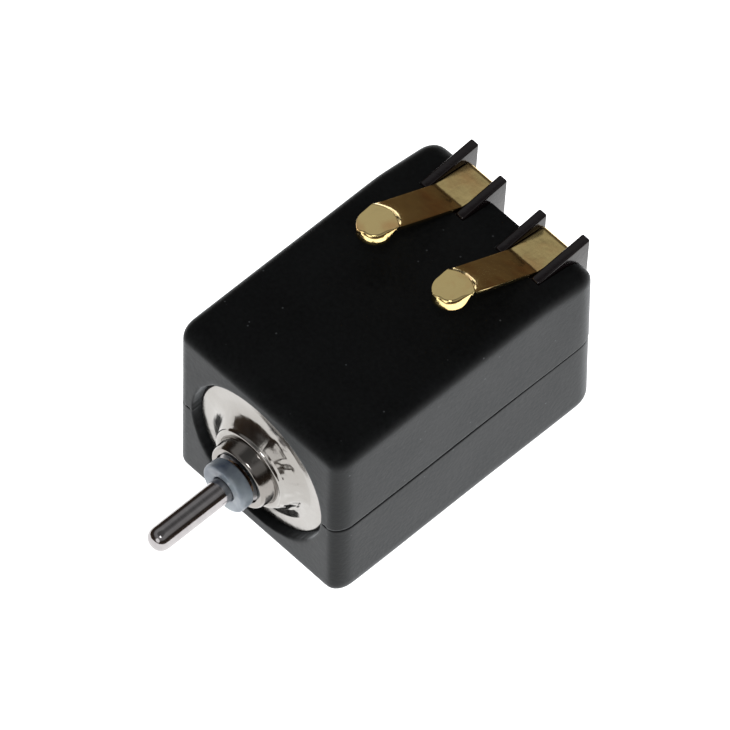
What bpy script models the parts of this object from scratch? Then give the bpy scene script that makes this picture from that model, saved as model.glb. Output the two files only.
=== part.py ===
"""Cylindrical pager-style vibration motor in a rubber boot, with two spring contacts.

Frame: origin at the centre of the boot's underside, +Z up, +Y towards the contacts.
The motor's shaft points along -Y. Lengths below are millimetres times MM.
"""
import math

import bmesh
import bpy
from mathutils import Matrix

MM = 0.001
MERGE = 1e-6                     # merging distance for parts this small
OPEN = 0.02 * MM                 # gap between two fixed pieces that touch
RUN = 0.04 * MM                  # gap between a moving piece and a fixed one

# Boot
BOOT_WIDTH = 5.2 * MM
BOOT_LENGTH = 7.85 * MM
BOOT_HEIGHT = 5.24 * MM
BOOT_EDGE = 0.36 * MM            # rounding of the outside edges
BOOT_SLOPE_START = 2.11 * MM     # y where the top starts to fall to the rear
BOOT_REAR_HEIGHT = 4.92 * MM
FRONT = -BOOT_LENGTH / 2
REAR = BOOT_LENGTH / 2

# Motor
AXIS_Z = 2.65 * MM
CAN_RADIUS = 2.0 * MM
CAN_WALL = 0.15 * MM
CAN_FACE = FRONT + 0.17 * MM     # front of the can, a little inside the boot
CAN_END = 2.0 * MM
NECK_RADIUS = 1.05 * MM
NOSE_RADIUS = 0.89 * MM
NOSE_END = FRONT - 0.59 * MM
SHAFT_RADIUS = 0.30 * MM
SHAFT_TIP = FRONT - 3.15 * MM
SHAFT_END = 1.97 * MM
SPACER_RADIUS = 0.64 * MM
SPACER_FRONT = FRONT - 1.02 * MM
SPACER_BACK = FRONT - 0.65 * MM
TUBE_RADIUS = 0.63 * MM
TUBE_BORE = 0.47 * MM
TUBE_END = 1.0 * MM
MAGNET_RADIUS = 1.30 * MM
COIL_INNER = 1.42 * MM
COIL_OUTER = 1.68 * MM
HUB_FRONT = 1.27 * MM
COMMUTATOR_FRONT = 1.50 * MM
COMMUTATOR_RADIUS = 0.52 * MM
SEGMENTS = 3
CAP_END = 2.45 * MM

# Terminal carrier: a disc with two channel towers, each with a rib on either side of its strip
CARRIER_FRONT = 2.60 * MM
CARRIER_BACK = 3.47 * MM
TOWER_CENTRES = {"left": -1.035 * MM, "right": 1.345 * MM}
CHANNEL_WIDTH = 0.88 * MM
RIB_THICKNESS = 0.25 * MM
TOWER_BACK = 3.86 * MM
TOWER_FOOT = 2.9 * MM
RIB_TOP = 5.34 * MM              # at the ribs' back ends
RIB_FRONT_TOP = 5.17 * MM        # beside the strips' crease
OUTER_RIB_BACK = 4.22 * MM
INNER_RIB_BACK = 4.00 * MM

# Contact strips
STRIP_WIDTH = 0.84 * MM
STRIP_THICKNESS = 0.09 * MM
CREASE_Y = 2.835 * MM
CREASE_Z = 5.17 * MM             # upper face of the strip at the crease
STRIP_REAR_Y = 3.95 * MM
STRIP_REAR_Z = 4.97 * MM
STRIP_FOOT_Z = 3.3 * MM
BEND_Y = 0.90 * MM
TIP_Z = 6.29 * MM                # upper face of the level tip
TIP_Y = 0.33 * MM
CURL_END = (0.26 * MM, 5.78 * MM)
PAD_CENTRE_Y = 0.55 * MM
PAD_RADIUS = 0.36 * MM
PAD_RISE = 0.04 * MM

# Colours (linear) with roughness and metallic
FINISHES = {
    "rubber": ((0.028, 0.030, 0.033), 0.75, 0.0),
    "black_plastic": ((0.020, 0.016, 0.018), 0.45, 0.0),
    "gold": ((0.62, 0.44, 0.17), 0.28, 1.0),
    "nickel": ((0.66, 0.63, 0.60), 0.22, 1.0),
    "steel": ((0.42, 0.42, 0.44), 0.25, 1.0),
    "blue_nylon": ((0.36, 0.45, 0.55), 0.40, 0.0),
    "bronze": ((0.45, 0.26, 0.12), 0.50, 1.0),
    "magnet": ((0.12, 0.12, 0.13), 0.40, 1.0),
    "copper": ((0.60, 0.24, 0.12), 0.35, 1.0),
    "white_resin": ((0.70, 0.66, 0.55), 0.50, 0.0),
}


def material(name):
    """The named finish as a Principled material, made once."""
    found = bpy.data.materials.get(name)
    if found:
        return found
    colour, roughness, metallic = FINISHES[name]
    made = bpy.data.materials.new(name)
    made.use_nodes = True
    made.diffuse_color = (*colour, 1.0)
    shader = made.node_tree.nodes["Principled BSDF"]
    shader.inputs["Base Color"].default_value = (*colour, 1.0)
    shader.inputs["Roughness"].default_value = roughness
    shader.inputs["Metallic"].default_value = metallic
    return made


def collection(name):
    made = bpy.data.collections.new(name)
    bpy.context.scene.collection.children.link(made)
    return made


def add(name, mesh, finish, parent=None, cutter=False):
    """An object for the mesh, in the part's collection or the cutters' one."""
    obj = bpy.data.objects.new(name, mesh)
    (CUTTERS if cutter else PARTS).objects.link(obj)
    obj.parent = parent
    if cutter:
        obj.hide_render = True
        obj.display_type = "WIRE"
    else:
        mesh.materials.append(material(finish))
    return obj


def arc(centre, radius, start, end, steps=5):
    """Points on a circle in (across, along), angles in degrees."""
    turns = [math.radians(start + (end - start) * i / steps) for i in range(steps + 1)]
    return [(centre[0] + radius * math.cos(a), centre[1] + radius * math.sin(a)) for a in turns]


def clockwise(points):
    """The same outline, ordered so that a screw about the axis faces outwards."""
    area = sum(a[0] * b[1] - b[0] * a[1] for a, b in zip(points, points[1:] + points[:1]))
    return points if area < 0 else points[::-1]


def turned(name, profile, finish, steps=32, parent=None, cutter=False):
    """A shape turned about the motor's axis from (radius, y) points."""
    points = clockwise(profile)
    count = len(points)
    edges = [(i, (i + 1) % count) for i in range(count)]
    touching = [i for i, (radius, _) in enumerate(points) if radius == 0.0]
    if touching:                 # the edge that lies on the axis is left out
        edges = [e for e in edges if not (e[0] in touching and e[1] in touching)]
    mesh = bpy.data.meshes.new(name)
    mesh.from_pydata([(radius, 0.0, along) for radius, along in points], edges, [])
    obj = add(name, mesh, finish, parent, cutter)
    screw = obj.modifiers.new("turn", "SCREW")
    screw.axis = "Z"
    screw.steps = screw.render_steps = steps
    screw.use_merge_vertices = True
    screw.merge_threshold = MERGE
    screw.use_smooth_shade = True
    obj.rotation_euler = (-math.pi / 2, 0.0, 0.0)
    if parent is None:
        obj.location = (0.0, 0.0, AXIS_Z)
    return obj


def ring(inner, outer, front, back):
    """The profile of a plain tube or disc with a hole."""
    return [(inner, front), (outer, front), (outer, back), (inner, back)]


def prism(name, outline, width, centre_x, finish, parent=None, cutter=False):
    """A side outline of (y, z) points, drawn as a flat curve and given a width along X."""
    curve = bpy.data.curves.new(name, "CURVE")
    curve.dimensions = "2D"
    curve.fill_mode = "BOTH"
    curve.extrude = width / 2
    spline = curve.splines.new("POLY")
    spline.points.add(len(outline) - 1)
    for point, (y, z) in zip(spline.points, outline):
        point.co = (y, z, 0.0, 1.0)
    spline.use_cyclic_u = True
    flat = bpy.data.objects.new(name + "_outline", curve)
    CUTTERS.objects.link(flat)
    bpy.context.view_layer.update()
    evaluated = flat.evaluated_get(bpy.context.evaluated_depsgraph_get())
    mesh = bpy.data.meshes.new_from_object(evaluated)
    mesh.name = name
    mesh.materials.clear()
    bpy.data.objects.remove(flat)
    bpy.data.curves.remove(curve)
    shape = bmesh.new()
    shape.from_mesh(mesh)
    bmesh.ops.remove_doubles(shape, verts=shape.verts, dist=MERGE)
    bmesh.ops.recalc_face_normals(shape, faces=shape.faces)
    shape.to_mesh(mesh)
    shape.free()
    # the curve's own X, Y and Z become the part's Y, Z and X
    mesh.transform(Matrix(((0, 0, 1, centre_x), (1, 0, 0, 0), (0, 1, 0, 0), (0, 0, 0, 1))))
    return add(name, mesh, finish, parent, cutter)


def block(name, low, high, finish="", parent=None, cutter=False):
    """A box between two corners."""
    shape = bmesh.new()
    size = [b - a for a, b in zip(low, high)]
    centre = [(a + b) / 2 for a, b in zip(low, high)]
    placed = Matrix.Translation(centre) @ Matrix.Diagonal((*size, 1))
    bmesh.ops.create_cube(shape, size=1.0, matrix=placed)
    mesh = bpy.data.meshes.new(name)
    shape.to_mesh(mesh)
    shape.free()
    return add(name, mesh, finish, parent, cutter)


def combine(obj, tool, operation):
    """One exact Boolean step of obj with a tool object."""
    step = obj.modifiers.new(operation.lower(), "BOOLEAN")
    step.operation = operation
    step.solver = "EXACT"
    step.object = tool


def strip_outline(path, thickness):
    """A strip's side outline: its upper face along path, and its lower face thickness below."""
    lower = []
    for i, (y, z) in enumerate(path):
        before = path[max(i - 1, 0)]
        after = path[min(i + 1, len(path) - 1)]
        length = math.dist(before, after)
        normal = ((after[1] - before[1]) / length, -(after[0] - before[0]) / length)
        lower.append((y + normal[0] * thickness, z + normal[1] * thickness))
    return path + lower[::-1]


def empty(name, place):
    """A joint's place, for what turns about it."""
    made = bpy.data.objects.new(name, None)
    made.location = place
    PARTS.objects.link(made)
    return made


def make_boot():
    """Moulded rubber block with the motor's bore and two slots for the carrier's towers."""
    bottom, top = 0.0, BOOT_HEIGHT
    side = [(FRONT, bottom), (REAR, bottom), (REAR, BOOT_REAR_HEIGHT), (BOOT_SLOPE_START, top),
            (FRONT, top)]
    boot = prism("rubber_boot", side, BOOT_WIDTH, 0.0, "rubber")
    rounding = boot.modifiers.new("edges", "BEVEL")
    rounding.width = BOOT_EDGE
    rounding.segments = 3
    rounding.limit_method = "ANGLE"
    rounding.angle_limit = math.radians(40)
    past = 1.0 * MM              # how far the cutters reach beyond the boot
    overlap = 0.1 * MM           # of the notch with the slots beside it
    bore_radius = CAN_RADIUS + 0.03 * MM
    bore = turned("boot_bore", [(0.0, FRONT - past), (bore_radius, FRONT - past), (bore_radius, REAR + past),
                                (0.0, REAR + past)], "", steps=48, cutter=True)
    combine(boot, bore, "DIFFERENCE")
    half = CHANNEL_WIDTH / 2 + RIB_THICKNESS + 2 * OPEN
    for side_name, centre in TOWER_CENTRES.items():
        slot = block("tower_slot_" + side_name, (centre - half, CARRIER_FRONT - OPEN, AXIS_Z),
                     (centre + half, REAR + past, BOOT_HEIGHT + past), cutter=True)
        combine(boot, slot, "DIFFERENCE")
    notch_low = TOWER_CENTRES["left"] + half - overlap
    notch_high = TOWER_CENTRES["right"] - half + overlap
    notch = block("rear_notch", (notch_low, CARRIER_BACK + OPEN, AXIS_Z),
                  (notch_high, REAR + past, BOOT_HEIGHT + past), cutter=True)
    combine(boot, notch, "DIFFERENCE")
    return boot


def make_carrier():
    """Moulded plastic carrier: a disc behind the motor and two towers with ribs."""
    carrier = turned("terminal_carrier", [(0.0, CARRIER_FRONT), (CAN_RADIUS, CARRIER_FRONT),
                                          (CAN_RADIUS, CARRIER_BACK), (0.0, CARRIER_BACK)],
                     "black_plastic", steps=40)
    slope = (STRIP_REAR_Z - CREASE_Z) / (STRIP_REAR_Y - CREASE_Y)
    seat_front, seat_back = CARRIER_FRONT + OPEN, TOWER_BACK
    drop = STRIP_THICKNESS + OPEN
    front_z = CREASE_Z - drop + slope * (seat_front - CREASE_Y)
    back_z = CREASE_Z - drop + slope * (seat_back - CREASE_Y)
    side = [(seat_front, TOWER_FOOT), (seat_back, TOWER_FOOT), (seat_back, back_z), (seat_front, front_z)]
    middle = sum(TOWER_CENTRES.values()) / 2
    for name, centre in TOWER_CENTRES.items():
        tower = prism("tower_" + name, side, CHANNEL_WIDTH + RIB_THICKNESS, centre, "", cutter=True)
        combine(carrier, tower, "UNION")
        for way in (-1, 1):
            rib_x = centre + way * (CHANNEL_WIDTH + RIB_THICKNESS) / 2
            outer = abs(rib_x - middle) > abs(centre - middle)
            back = OUTER_RIB_BACK if outer else INNER_RIB_BACK
            lean = 0.12 * MM     # of the back edge, top to foot
            rib_side = [(seat_front + OPEN, TOWER_FOOT + OPEN), (back - lean, TOWER_FOOT + OPEN),
                        (back, RIB_TOP), (CREASE_Y, RIB_FRONT_TOP), (seat_front + OPEN, front_z)]
            rib = prism(f"rib_{name}_{'outer' if outer else 'inner'}", rib_side, RIB_THICKNESS, rib_x, "",
                        cutter=True)
            combine(carrier, rib, "UNION")
    return carrier


def make_contacts():
    """Gold-plated strips: a fixed base in each channel and a sprung leaf that turns at the crease."""
    for side, centre in TOWER_CENTRES.items():
        slope = math.atan2(STRIP_REAR_Z - CREASE_Z, STRIP_REAR_Y - CREASE_Y)
        start = (CREASE_Y + OPEN, CREASE_Z + math.tan(slope) * OPEN)
        bend = 0.12 * MM
        corner = arc((STRIP_REAR_Y - bend, STRIP_REAR_Z - bend), bend, 75, 0, 4)
        base_path = [start] + corner + [(STRIP_REAR_Y, STRIP_FOOT_Z)]
        prism("contact_base_" + side, strip_outline(base_path, STRIP_THICKNESS), STRIP_WIDTH, centre, "gold")
        pivot = empty("contact_pivot_" + side, (centre, CREASE_Y, CREASE_Z - STRIP_THICKNESS / 2))
        rise = math.atan2(TIP_Z - CREASE_Z, BEND_Y - CREASE_Y)
        leaf_start = (CREASE_Y + RUN / 2 * math.cos(rise), CREASE_Z + RUN / 2 * math.sin(rise) + OPEN)
        curl = arc((TIP_Y, TIP_Z - 0.17 * MM), 0.17 * MM, 90, 180, 4)
        leaf_path = [CURL_END] + curl[::-1] + [(BEND_Y, TIP_Z), leaf_start]
        leaf = prism("contact_leaf_" + side, strip_outline(leaf_path, STRIP_THICKNESS), STRIP_WIDTH, centre,
                     "gold", parent=pivot)
        leaf.matrix_parent_inverse = Matrix.Translation(pivot.location).inverted()
        shape = bmesh.new()
        bmesh.ops.create_cone(shape, cap_ends=True, segments=24, radius1=PAD_RADIUS, radius2=PAD_RADIUS * 0.9,
                              depth=PAD_RISE + STRIP_THICKNESS / 2)
        mesh = bpy.data.meshes.new("pad_" + side)
        shape.to_mesh(mesh)
        shape.free()
        pad = add("pad_" + side, mesh, "", cutter=True)
        pad.location = (centre, PAD_CENTRE_Y, TIP_Z + (PAD_RISE - STRIP_THICKNESS / 2) / 2)
        combine(leaf, pad, "UNION")


def make_can():
    """Deep-drawn can with a stepped neck, which holds the bearing tube."""
    fillet = arc((NECK_RADIUS + 0.42 * MM, CAN_FACE - 0.24 * MM), 0.24 * MM, 90, 180, 4)
    fillet = [(NECK_RADIUS + (r - NECK_RADIUS - 0.18 * MM) * 1.75, y) for r, y in fillet]
    shoulder = arc((CAN_RADIUS - 0.22 * MM, CAN_FACE + 0.22 * MM), 0.22 * MM, 270, 360, 4)
    outer = [(TUBE_RADIUS + OPEN, NOSE_END), (0.77 * MM, NOSE_END), (0.81 * MM, NOSE_END + 0.07 * MM),
             (NOSE_RADIUS, FRONT - 0.25 * MM), (NECK_RADIUS - 0.02 * MM, FRONT - 0.25 * MM),
             (NECK_RADIUS, FRONT - 0.22 * MM)]
    outer += fillet[::-1] + shoulder + [(CAN_RADIUS, CAN_END)]
    inside = CAN_RADIUS - CAN_WALL
    face_back = CAN_FACE + CAN_WALL
    inner = [(inside, CAN_END), (inside, face_back), (NECK_RADIUS + 0.3 * MM, face_back),
             (NOSE_RADIUS, CAN_FACE - 0.03 * MM), (NOSE_RADIUS - 0.02 * MM, FRONT - 0.08 * MM),
             (TUBE_RADIUS + OPEN, FRONT - 0.10 * MM)]
    return turned("motor_can", outer + inner, "nickel", steps=48)


def make_stator():
    """Bearing tube in the can's neck with a bearing at either end and the magnet around it."""
    tube_front = NOSE_END + 0.05 * MM
    turned("bearing_tube", ring(TUBE_BORE, TUBE_RADIUS, tube_front, TUBE_END), "steel")
    bearing_inner = SHAFT_RADIUS + 0.02 * MM
    bearing_outer = TUBE_BORE - OPEN
    length = 1.0 * MM
    turned("front_bearing", ring(bearing_inner, bearing_outer, tube_front, tube_front + length), "bronze")
    turned("rear_bearing", ring(bearing_inner, bearing_outer, TUBE_END - length, TUBE_END), "bronze")
    turned("magnet", ring(TUBE_RADIUS + OPEN, MAGNET_RADIUS, CAN_FACE + 0.45 * MM, TUBE_END - 0.1 * MM),
           "magnet")


def make_end_cap():
    """Plastic cap that closes the can and holds the brushes."""
    inside = CAN_RADIUS - CAN_WALL - OPEN
    lip = 0.38 * MM
    profile = [(0.0, CAN_END + OPEN), (1.45 * MM, CAN_END + OPEN), (1.45 * MM, CAN_END - lip),
               (inside, CAN_END - lip), (inside, CAN_END + OPEN), (CAN_RADIUS, CAN_END + OPEN),
               (CAN_RADIUS, CAP_END), (0.0, CAP_END)]
    turned("end_cap", profile, "black_plastic", steps=40)
    brush_reach = COMMUTATOR_RADIUS + RUN
    thickness = 0.06 * MM
    front = COMMUTATOR_FRONT + 0.12 * MM
    for side, way in (("left", -1), ("right", 1)):
        x = way * (brush_reach + thickness / 2)
        block("brush_" + side, (x - thickness / 2, front, AXIS_Z - 0.45 * MM),
              (x + thickness / 2, front + 0.22 * MM, AXIS_Z + 1.15 * MM), "copper")
        centre = TOWER_CENTRES[side]
        wide = 0.3 * MM
        block("terminal_" + side, (centre - wide, CAP_END + OPEN, AXIS_Z - 0.2 * MM),
              (centre + wide, CARRIER_FRONT - 2 * OPEN, AXIS_Z + 1.1 * MM), "gold")


def make_rotor():
    """Shaft with its spacer, thrust washer, cup coil, hub and commutator; all turn about Y."""
    axis = empty("rotor_axis", (0.0, 0.0, AXIS_Z))
    round_end = arc((SHAFT_RADIUS - 0.14 * MM, SHAFT_TIP + 0.14 * MM), 0.14 * MM, 270, 360, 4)
    shaft = [(0.0, SHAFT_TIP)] + round_end + [(SHAFT_RADIUS, SHAFT_END), (0.0, SHAFT_END)]
    turned("shaft", shaft, "steel", parent=axis)
    bore = SHAFT_RADIUS + OPEN
    bevel = 0.07 * MM
    spacer = [(bore, SPACER_FRONT), (SPACER_RADIUS - bevel, SPACER_FRONT),
              (SPACER_RADIUS, SPACER_FRONT + bevel), (SPACER_RADIUS, SPACER_BACK - bevel),
              (SPACER_RADIUS - bevel, SPACER_BACK), (bore, SPACER_BACK)]
    turned("shaft_spacer", spacer, "blue_nylon", parent=axis)
    turned("thrust_washer", ring(bore, TUBE_RADIUS, TUBE_END + RUN, TUBE_END + 0.16 * MM), "blue_nylon",
           parent=axis)
    turned("coil", ring(COIL_INNER, COIL_OUTER, CAN_FACE + 0.45 * MM, HUB_FRONT - OPEN), "copper", steps=40,
           parent=axis)
    sleeve = COMMUTATOR_RADIUS - 0.14 * MM
    hub = [(bore, HUB_FRONT), (COIL_OUTER, HUB_FRONT), (COIL_OUTER, COMMUTATOR_FRONT - 0.06 * MM),
           (sleeve, COMMUTATOR_FRONT - 0.06 * MM), (sleeve, SHAFT_END - 0.02 * MM),
           (bore, SHAFT_END - 0.02 * MM)]
    turned("coil_hub", hub, "white_resin", steps=40, parent=axis)
    gap = 12.0                   # degrees between segments
    span = 360.0 / SEGMENTS - gap
    steps = 8
    for number in range(SEGMENTS):
        start = number * 360.0 / SEGMENTS + gap / 2
        outer = arc((0.0, 0.0), COMMUTATOR_RADIUS, start, start + span, steps)
        inner = arc((0.0, 0.0), sleeve + OPEN, start + span, start, steps)
        length = SHAFT_END - 0.04 * MM - COMMUTATOR_FRONT
        piece = prism(f"commutator_segment_{number + 1}", outer + inner, length, 0.0, "gold", parent=axis)
        # the prism runs along X; it is turned to run along Y behind the hub
        piece.data.transform(Matrix(((0, 1, 0, 0), (1, 0, 0, COMMUTATOR_FRONT + length / 2), (0, 0, 1, 0),
                                     (0, 0, 0, 1))))
        piece.data.flip_normals()


for old in list(bpy.data.objects):
    bpy.data.objects.remove(old)
PARTS = collection("vibration_motor")
CUTTERS = collection("cutters")
make_boot()
make_carrier()
make_contacts()
make_can()
make_stator()
make_end_cap()
make_rotor()
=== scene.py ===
"""Looks of a cylindrical vibration motor in a rubber boot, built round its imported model.

Pieces are drawn in millimetres and brought to metres by settle(), with their place in the mesh.
"""
import math

import bmesh
import bpy
from mathutils import Matrix, Vector, noise


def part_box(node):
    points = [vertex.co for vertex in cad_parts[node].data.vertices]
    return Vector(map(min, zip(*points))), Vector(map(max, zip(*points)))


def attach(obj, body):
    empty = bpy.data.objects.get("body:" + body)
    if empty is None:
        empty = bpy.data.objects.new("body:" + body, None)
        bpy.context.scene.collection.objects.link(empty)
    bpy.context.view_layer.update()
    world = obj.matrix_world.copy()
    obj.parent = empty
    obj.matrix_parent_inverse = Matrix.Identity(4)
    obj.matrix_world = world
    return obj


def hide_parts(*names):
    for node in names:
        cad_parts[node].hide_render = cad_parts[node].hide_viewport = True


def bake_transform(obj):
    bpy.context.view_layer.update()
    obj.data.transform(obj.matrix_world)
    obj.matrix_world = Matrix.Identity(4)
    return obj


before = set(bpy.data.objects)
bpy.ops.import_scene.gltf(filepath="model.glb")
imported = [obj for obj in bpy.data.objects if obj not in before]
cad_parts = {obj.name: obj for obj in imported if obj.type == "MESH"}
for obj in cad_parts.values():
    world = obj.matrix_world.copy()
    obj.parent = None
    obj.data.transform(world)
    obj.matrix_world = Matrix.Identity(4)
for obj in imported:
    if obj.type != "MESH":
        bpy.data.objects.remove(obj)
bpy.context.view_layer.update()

# ---------------------------------------------------------------- studio
# White paper on a table in a dim room: the paper is bright, the ceiling grey and the walls dark,
# with one lamp beside the camera and a white card in front. A long lens looks down at the corner.

MM = 0.001
CAMERA_TARGET = Vector((-0.293, -0.355, 2.584)) * MM
CAMERA_DISTANCE = 430.65 * MM
CAMERA_AZIMUTH = math.radians(45.485)
CAMERA_ELEVATION = math.radians(55.378)
CAMERA_ROLL = math.radians(1.012)
CAMERA_LENS = 968.1

camera_data = bpy.data.cameras.new("camera")
camera_data.lens = CAMERA_LENS
camera_data.sensor_width = 36.0
camera_data.clip_start = 0.01
camera = bpy.data.objects.new("camera", camera_data)
bpy.context.scene.collection.objects.link(camera)
looking = (Matrix.Rotation(CAMERA_AZIMUTH, 4, "Z") @ Matrix.Rotation(math.pi / 2 - CAMERA_ELEVATION, 4, "X")
           @ Matrix.Rotation(CAMERA_ROLL, 4, "Z"))
camera.matrix_world = Matrix.Translation(CAMERA_TARGET + looking.col[2].xyz * CAMERA_DISTANCE) @ looking
bpy.context.scene.camera = camera
bpy.context.scene.view_settings.view_transform = "Standard"

PAPER_SIZE = 0.13
PAPER_SHIFT = 0.042
bpy.ops.mesh.primitive_plane_add(size=PAPER_SIZE, location=(PAPER_SHIFT, -PAPER_SHIFT, -0.02 * MM))
paper = bpy.context.active_object
paper.name = "paper"
paper_look = bpy.data.materials.new("white_paper")
paper_look.use_nodes = True
paper_shader = paper_look.node_tree.nodes["Principled BSDF"]
paper_shader.inputs["Base Color"].default_value = (0.55, 0.55, 0.55, 1.0)
paper_shader.inputs["Roughness"].default_value = 0.9
paper_shader.inputs["Specular IOR Level"].default_value = 0.1
paper_shader.inputs["Emission Color"].default_value = (1.0, 1.0, 1.0, 1.0)
paper_shader.inputs["Emission Strength"].default_value = 1.6
paper.data.materials.append(paper_look)

LIGHT_DISTANCE = 0.40
LIGHTS = [("lamp", 42.0, 66.0, 0.08, 0.20),   # name, azimuth, elevation, width, power
          ("card", 14.0, 24.0, 0.26, 0.24)]
for name, azimuth, elevation, width, power in LIGHTS:
    light_data = bpy.data.lights.new(name, "AREA")
    light_data.shape = "DISK"
    light_data.size = width
    light_data.energy = power
    light = bpy.data.objects.new(name, light_data)
    bpy.context.scene.collection.objects.link(light)
    turn = (Matrix.Rotation(math.radians(azimuth), 4, "Z")
            @ Matrix.Rotation(math.radians(90.0 - elevation), 4, "X"))
    light.matrix_world = Matrix.Translation(turn.col[2].xyz * LIGHT_DISTANCE) @ turn

room = bpy.data.worlds.new("room")
room.use_nodes = True
bpy.context.scene.world = room
room_nodes, room_links = room.node_tree.nodes, room.node_tree.links
room_place = room_nodes.new("ShaderNodeTexCoord")
room_axes = room_nodes.new("ShaderNodeSeparateXYZ")
room_ramp = room_nodes.new("ShaderNodeValToRGB")
room_links.new(room_place.outputs["Generated"], room_axes.inputs[0])
room_links.new(room_axes.outputs["Z"], room_ramp.inputs["Fac"])
room_links.new(room_ramp.outputs["Color"], room_nodes["Background"].inputs["Color"])
ROOM_SHADES = [(0.0, (0.085, 0.062, 0.042)), (0.12, (0.060, 0.042, 0.030)), (0.42, (0.035, 0.027, 0.023)),
               (0.50, (0.07, 0.065, 0.06)), (0.60, (0.33, 0.325, 0.32)), (0.85, (0.37, 0.37, 0.375)),
               (0.93, (0.12, 0.12, 0.12))]
for number, (place, shade) in enumerate(ROOM_SHADES):
    stop = room_ramp.color_ramp.elements[number] if number < 2 else room_ramp.color_ramp.elements.new(place)
    stop.position = place
    stop.color = (*shade, 1.0)

# ---------------------------------------------------------------- motor can
# Deep-drawn steel cup with a nickel finish. Its front face runs in a wide fillet into a neck, which
# steps down once to a nose. The bearing tube is pressed into the neck.


def span(node):
    """Lowest and highest corner of a node, in millimetres."""
    low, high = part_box(node)
    return low / MM, high / MM


def pick_only(piece):
    """Makes a piece the only one selected, and active."""
    bpy.ops.object.select_all(action="DESELECT")
    piece.select_set(True)
    bpy.context.view_layer.objects.active = piece


CURVE_STEPS = 4


def eased(points, closed):
    """A profile with each corner of (across, along, rounding) turned into a small curve."""
    count = len(points)
    smooth = []
    for i, (across, along, rounding) in enumerate(points):
        corner = Vector((across, along))
        ends = [points[(i - 1) % count], points[(i + 1) % count]]
        if rounding == 0.0 or (not closed and i in (0, count - 1)):
            smooth.append(corner)
            continue
        sides = []
        for end in ends:
            edge = Vector(end[:2]) - corner
            sides.append(corner + edge.normalized() * min(rounding, edge.length * 0.48))
        for step in range(CURVE_STEPS + 1):
            t = step / CURVE_STEPS
            smooth.append(sides[0] * (1 - t) ** 2 + corner * 2 * t * (1 - t) + sides[1] * t ** 2)
    return smooth


def turned(name, points, closed=True, steps=128):
    """A piece turned about the motor's axis from a profile of (radius, y, rounding) points."""
    line = eased(points, closed)
    bpy.ops.mesh.primitive_circle_add(vertices=len(line), radius=1.0, fill_type="NOTHING")
    piece = bpy.context.active_object
    piece.name = name
    pick_only(piece)
    for vert, point in zip(piece.data.vertices, line):
        vert.co = (point.x, point.y, AXIS_Z)
    bpy.ops.object.mode_set(mode="EDIT")
    if not closed:                                   # the axis itself needs no wall
        sheet = bmesh.from_edit_mesh(piece.data)
        sheet.verts.ensure_lookup_table()
        ends = {sheet.verts[0], sheet.verts[-1]}
        bmesh.ops.delete(sheet, geom=[e for e in sheet.edges if set(e.verts) == ends], context="EDGES")
        bmesh.update_edit_mesh(piece.data)
    bpy.ops.mesh.select_all(action="SELECT")
    bpy.ops.mesh.spin(steps=steps, angle=2 * math.pi, center=(0.0, 0.0, AXIS_Z), axis=(0.0, 1.0, 0.0))
    bpy.ops.mesh.select_all(action="SELECT")
    bpy.ops.mesh.remove_doubles(threshold=0.0005)
    bpy.ops.mesh.normals_make_consistent(inside=False)
    bpy.ops.object.mode_set(mode="OBJECT")
    return piece


def face_outwards(piece):
    """Turns a closed piece's faces so that their normals point out of it."""
    skin = bmesh.new()
    skin.from_mesh(piece.data)
    inside_out = skin.calc_volume(signed=True) < 0
    skin.free()
    if inside_out:
        piece.data.flip_normals()


def settle(piece, look, body, slot, *nodes, angle=40):
    """Finishes a piece: millimetres to metres, smooth shading, its look, and what it stands for."""
    pick_only(piece)
    bpy.ops.object.transform_apply(location=True, rotation=True, scale=True)
    piece.data.transform(Matrix.Scale(MM, 4))
    bpy.ops.object.shade_smooth_by_angle(angle=math.radians(angle))
    piece.data.materials.clear()
    piece.data.materials.append(look)
    if body:
        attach(piece, body)
    if nodes:
        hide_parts(*nodes)
    return piece


def node_group(name, inputs, outputs):
    """An empty shader group with named sockets of (name, kind, value), and its two end nodes."""
    group = bpy.data.node_groups.new(name, "ShaderNodeTree")
    for label, kind, value in inputs:
        socket = group.interface.new_socket(label, in_out="INPUT", socket_type="NodeSocket" + kind)
        socket.default_value = value
    for label, kind in outputs:
        group.interface.new_socket(label, in_out="OUTPUT", socket_type="NodeSocket" + kind)
    return group, group.nodes.new("NodeGroupInput"), group.nodes.new("NodeGroupOutput")


def texture(tree, kind, coords, **values):
    """A texture node on the given coordinates, with its inputs set by name."""
    node = tree.nodes.new("ShaderNodeTex" + kind)
    tree.links.new(coords, node.inputs["Vector"])
    for label, value in values.items():
        node.inputs[label.replace("_", " ")].default_value = value
    return node


def remap(tree, value, low, high, to_low=0.0, to_high=1.0, smooth=False):
    """A value stretched from one range to another, and clamped."""
    node = tree.nodes.new("ShaderNodeMapRange")
    node.interpolation_type = "SMOOTHSTEP" if smooth else "LINEAR"
    tree.links.new(value, node.inputs["Value"])
    for label, number in (("From Min", low), ("From Max", high), ("To Min", to_low), ("To Max", to_high)):
        node.inputs[label].default_value = number
    return node.outputs["Result"]


def calculate(tree, operation, first, second=None):
    """One Math node on values or sockets."""
    node = tree.nodes.new("ShaderNodeMath")
    node.operation = operation
    for index, item in enumerate((first, second)):
        if item is None:
            continue
        if isinstance(item, (int, float)):
            node.inputs[index].default_value = item
        else:
            tree.links.new(item, node.inputs[index])
    return node.outputs[0]


def tint(tree, factor, first, second):
    """A colour mixed from two, which are sockets or RGB values."""
    node = tree.nodes.new("ShaderNodeMix")
    node.data_type = "RGBA"
    tree.links.new(factor, node.inputs[0])
    for socket, colour in ((node.inputs[6], first), (node.inputs[7], second)):
        if isinstance(colour, tuple):
            socket.default_value = (*colour, 1.0)
        else:
            tree.links.new(colour, socket)
    return node.outputs[2]


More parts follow.
